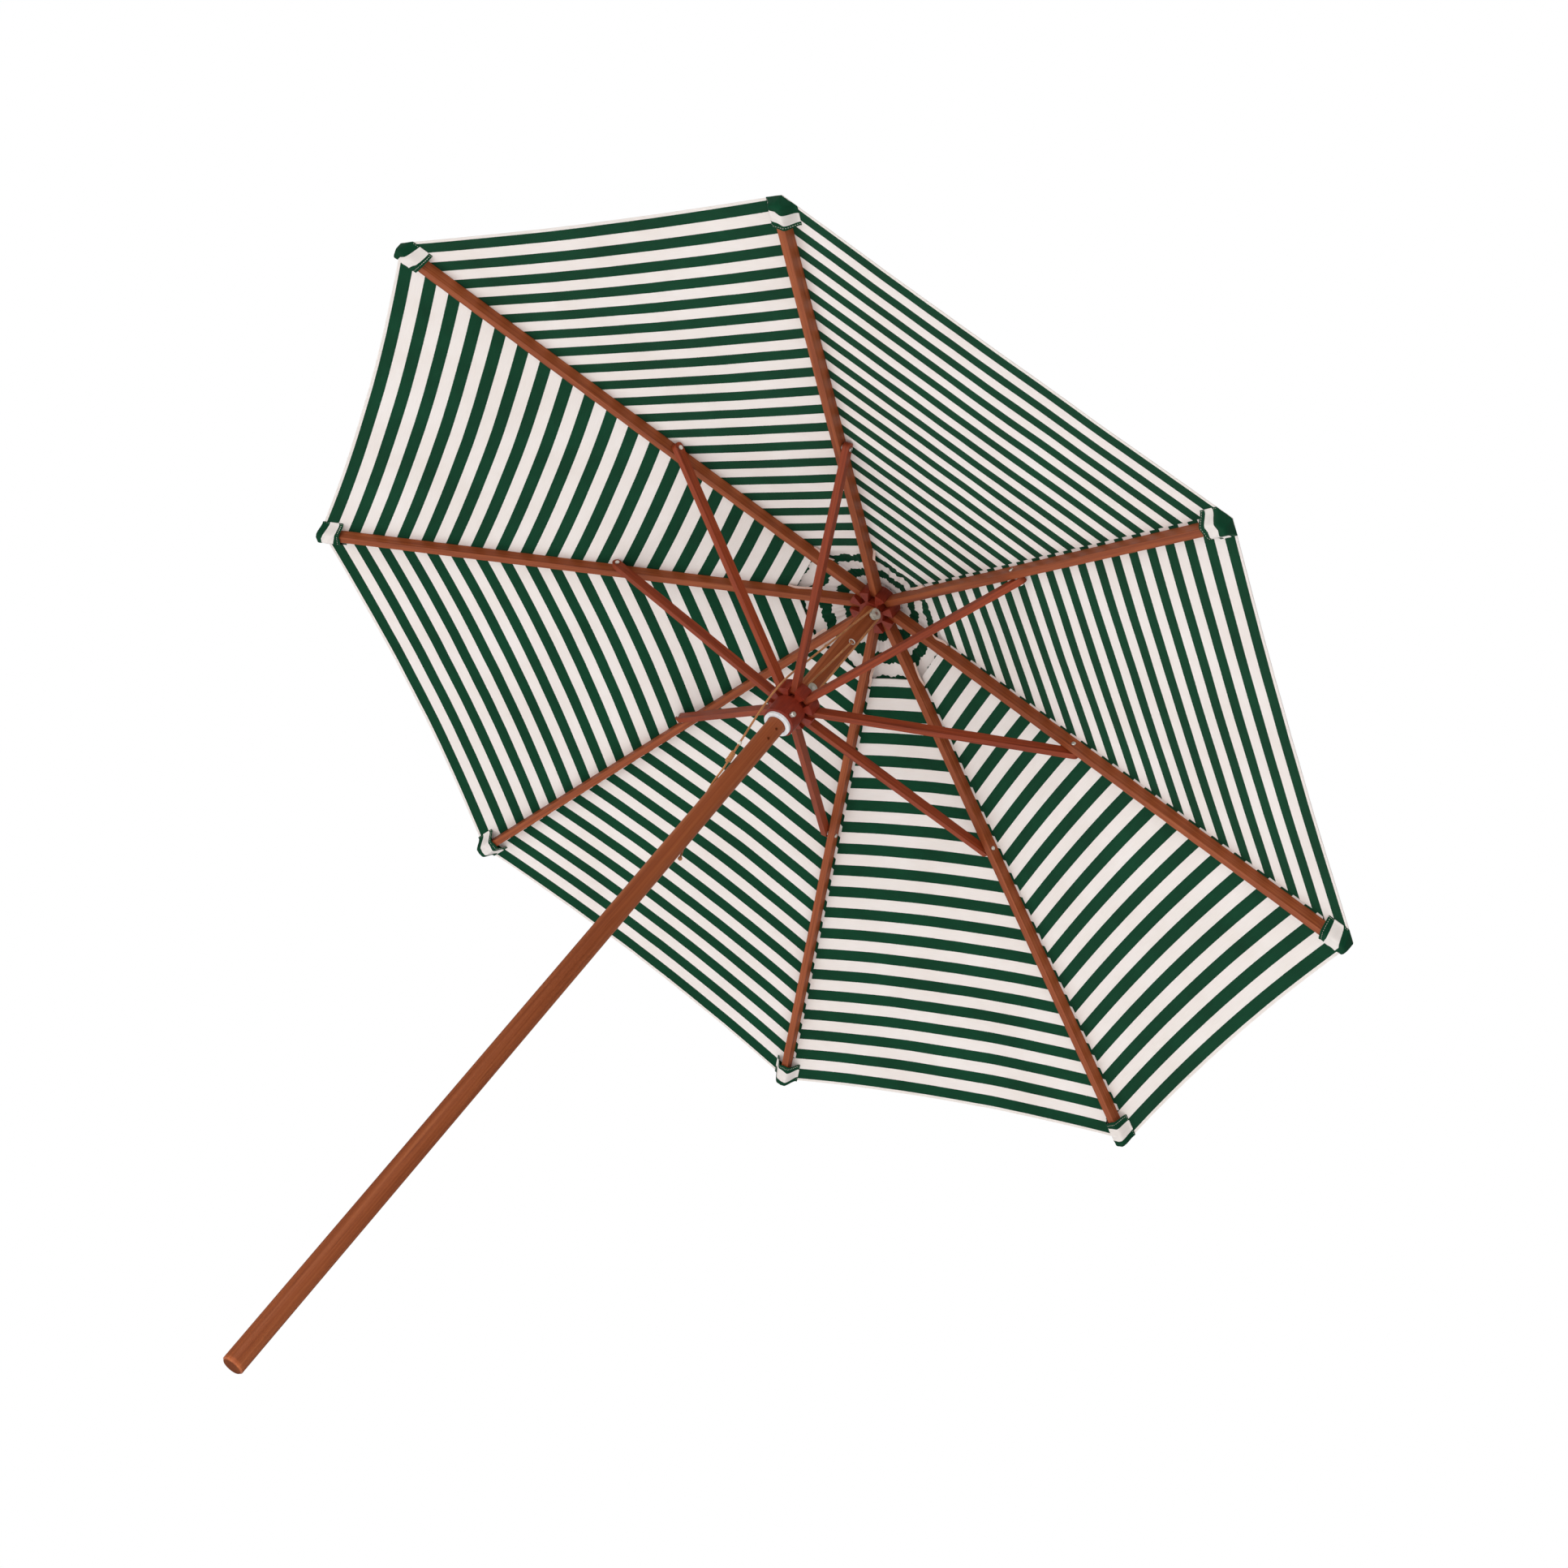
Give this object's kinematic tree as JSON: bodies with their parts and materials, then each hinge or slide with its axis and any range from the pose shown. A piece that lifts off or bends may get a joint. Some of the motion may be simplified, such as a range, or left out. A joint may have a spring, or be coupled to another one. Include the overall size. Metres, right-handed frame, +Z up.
{
  "type": "beach umbrella",
  "caption": "Open octagonal wooden beach umbrella with striped vented canopy, folding ribs and struts, sliding runner and rope pulleys on a straight pole.",
  "frame": {"origin": "centre of the pole's foot", "axes": "+Z up along the pole, -Y towards the side that carries the pulleys and the lock pin"},
  "size_m": [2.3, 2.3, 2.1135],
  "materials": {
    "pole_wood": "oiled hardwood, satin",
    "rib_wood": "oiled hardwood, satin",
    "hub_wood": "red-brown stain, satin",
    "canvas": "woven canvas with dark green and off-white stripes",
    "rope": "twisted cord",
    "steel": "zinc plated",
    "pulley_nylon": "moulded nylon",
    "bush_nylon": "moulded nylon",
    "bead_nylon": "moulded nylon"
  },
  "bodies": {
    "root": {"pole": "pole_wood", "crown": "hub_wood", "crown_pins": "steel", "crown_pulley_mount": "steel", "rope_eye": "steel", "hoist_rope": "rope", "rope_bead": "bead_nylon", "rope_knot": "rope", "rope_tail": "rope", "rope_end": "rope", "cap_middle": "canvas", "cap_washer": "steel", "finial": "hub_wood"},
    "crown_pulley": {"crown_pulley": "pulley_nylon"},
    "rib_1": {"rib_1": "rib_wood", "strut_pin_1": "steel", "canopy_1": "canvas", "vent_cap_1": "canvas"},
    "rib_2": {"rib_2": "rib_wood", "strut_pin_2": "steel", "canopy_2": "canvas", "vent_cap_2": "canvas"},
    "rib_3": {"rib_3": "rib_wood", "strut_pin_3": "steel", "canopy_3": "canvas", "vent_cap_3": "canvas"},
    "rib_4": {"rib_4": "rib_wood", "strut_pin_4": "steel", "canopy_4": "canvas", "vent_cap_4": "canvas"},
    "rib_5": {"rib_5": "rib_wood", "strut_pin_5": "steel", "canopy_5": "canvas", "vent_cap_5": "canvas"},
    "rib_6": {"rib_6": "rib_wood", "strut_pin_6": "steel", "canopy_6": "canvas", "vent_cap_6": "canvas"},
    "rib_7": {"rib_7": "rib_wood", "strut_pin_7": "steel", "canopy_7": "canvas", "vent_cap_7": "canvas"},
    "rib_8": {"rib_8": "rib_wood", "strut_pin_8": "steel", "canopy_8": "canvas", "vent_cap_8": "canvas"},
    "strut_1": {"strut_1": "rib_wood"},
    "strut_2": {"strut_2": "rib_wood"},
    "strut_3": {"strut_3": "rib_wood"},
    "strut_4": {"strut_4": "rib_wood"},
    "strut_5": {"strut_5": "rib_wood"},
    "strut_6": {"strut_6": "rib_wood"},
    "strut_7": {"strut_7": "rib_wood"},
    "strut_8": {"strut_8": "rib_wood"},
    "runner": {"runner": "hub_wood", "runner_pins": "steel", "runner_bush": "bush_nylon", "runner_pulley_mount": "steel"},
    "runner_pulley": {"runner_pulley": "pulley_nylon"},
    "lock_pin": {"lock_pin": "steel"}
  },
  "joints": [
    {"name": "fold", "type": "hinge", "parent": "root", "child": "rib_1", "pos_m": [0.038, 0, 2.036], "axis": [0, 1, 0], "range_deg": [0, 65], "deforming": ["canopy_1", "vent_cap_1", "hoist_rope", "rope_bead", "rope_knot", "rope_tail", "rope_end"]},
    {"name": "rib_2_fold", "type": "hinge", "parent": "root", "child": "rib_2", "pos_m": [0.02687, 0.02687, 2.036], "axis": [-0.7071, 0.7071, 0], "range_deg": [0, 65], "deforming": ["canopy_2", "vent_cap_2"]},
    {"name": "rib_3_fold", "type": "hinge", "parent": "root", "child": "rib_3", "pos_m": [0, 0.038, 2.036], "axis": [-1, 0, 0], "range_deg": [0, 65], "deforming": ["canopy_3", "vent_cap_3"]},
    {"name": "rib_4_fold", "type": "hinge", "parent": "root", "child": "rib_4", "pos_m": [-0.02687, 0.02687, 2.036], "axis": [-0.7071, -0.7071, 0], "range_deg": [0, 65], "deforming": ["canopy_4", "vent_cap_4"]},
    {"name": "rib_5_fold", "type": "hinge", "parent": "root", "child": "rib_5", "pos_m": [-0.038, 0, 2.036], "axis": [0, -1, 0], "range_deg": [0, 65], "deforming": ["canopy_5", "vent_cap_5"]},
    {"name": "rib_6_fold", "type": "hinge", "parent": "root", "child": "rib_6", "pos_m": [-0.02687, -0.02687, 2.036], "axis": [0.7071, -0.7071, 0], "range_deg": [0, 65], "deforming": ["canopy_6", "vent_cap_6"]},
    {"name": "rib_7_fold", "type": "hinge", "parent": "root", "child": "rib_7", "pos_m": [0, -0.038, 2.036], "axis": [1, 0, 0], "range_deg": [0, 65], "deforming": ["canopy_7", "vent_cap_7"]},
    {"name": "rib_8_fold", "type": "hinge", "parent": "root", "child": "rib_8", "pos_m": [0.02687, -0.02687, 2.036], "axis": [0.7071, 0.7071, 0], "range_deg": [0, 65], "deforming": ["canopy_8", "vent_cap_8"]},
    {"name": "strut_1_swing", "type": "hinge", "parent": "rib_1", "child": "strut_1", "pos_m": [0.51916, 0, 1.87303], "axis": [0, 1, 0], "range_deg": [-130, 0]},
    {"name": "strut_2_swing", "type": "hinge", "parent": "rib_2", "child": "strut_2", "pos_m": [0.3671, 0.3671, 1.87303], "axis": [-0.7071, 0.7071, 0], "range_deg": [-130, 0]},
    {"name": "strut_3_swing", "type": "hinge", "parent": "rib_3", "child": "strut_3", "pos_m": [0, 0.51916, 1.87303], "axis": [-1, 0, 0], "range_deg": [-130, 0]},
    {"name": "strut_4_swing", "type": "hinge", "parent": "rib_4", "child": "strut_4", "pos_m": [-0.3671, 0.3671, 1.87303], "axis": [-0.7071, -0.7071, 0], "range_deg": [-130, 0]},
    {"name": "strut_5_swing", "type": "hinge", "parent": "rib_5", "child": "strut_5", "pos_m": [-0.51916, 0, 1.87303], "axis": [0, -1, 0], "range_deg": [-130, 0]},
    {"name": "strut_6_swing", "type": "hinge", "parent": "rib_6", "child": "strut_6", "pos_m": [-0.3671, -0.3671, 1.87303], "axis": [0.7071, -0.7071, 0], "range_deg": [-130, 0]},
    {"name": "strut_7_swing", "type": "hinge", "parent": "rib_7", "child": "strut_7", "pos_m": [0, -0.51916, 1.87303], "axis": [1, 0, 0], "range_deg": [-130, 0]},
    {"name": "strut_8_swing", "type": "hinge", "parent": "rib_8", "child": "strut_8", "pos_m": [0.3671, -0.3671, 1.87303], "axis": [0.7071, 0.7071, 0], "range_deg": [-130, 0]},
    {"name": "runner_lift", "type": "hinge", "parent": "strut_1", "child": "runner", "pos_m": [0.038, 0, 1.71006], "axis": [0, 1, 0], "range_deg": [0, 65]},
    {"name": "crown_pulley_spin", "type": "hinge", "parent": "root", "child": "crown_pulley", "pos_m": [0, -0.0264, 2.002], "axis": [0, 1, 0], "continuous": true},
    {"name": "runner_pulley_spin", "type": "hinge", "parent": "runner", "child": "runner_pulley", "pos_m": [0, -0.0264, 1.74706], "axis": [0, 1, 0], "continuous": true},
    {"name": "lock_pin_pull", "type": "slide", "parent": "runner", "child": "lock_pin", "axis": [0, -1, 0], "range_m": [0, 0.035]}
  ],
  "couplings": [
    {"joint": "rib_2_fold", "follows": "fold", "ratio": 1},
    {"joint": "rib_3_fold", "follows": "fold", "ratio": 1},
    {"joint": "rib_4_fold", "follows": "fold", "ratio": 1},
    {"joint": "rib_5_fold", "follows": "fold", "ratio": 1},
    {"joint": "rib_6_fold", "follows": "fold", "ratio": 1},
    {"joint": "rib_7_fold", "follows": "fold", "ratio": 1},
    {"joint": "rib_8_fold", "follows": "fold", "ratio": 1},
    {"joint": "strut_1_swing", "follows": "fold", "ratio": -2},
    {"joint": "strut_2_swing", "follows": "fold", "ratio": -2},
    {"joint": "strut_3_swing", "follows": "fold", "ratio": -2},
    {"joint": "strut_4_swing", "follows": "fold", "ratio": -2},
    {"joint": "strut_5_swing", "follows": "fold", "ratio": -2},
    {"joint": "strut_6_swing", "follows": "fold", "ratio": -2},
    {"joint": "strut_7_swing", "follows": "fold", "ratio": -2},
    {"joint": "strut_8_swing", "follows": "fold", "ratio": -2},
    {"joint": "runner_lift", "follows": "fold", "ratio": 1}
  ]
}
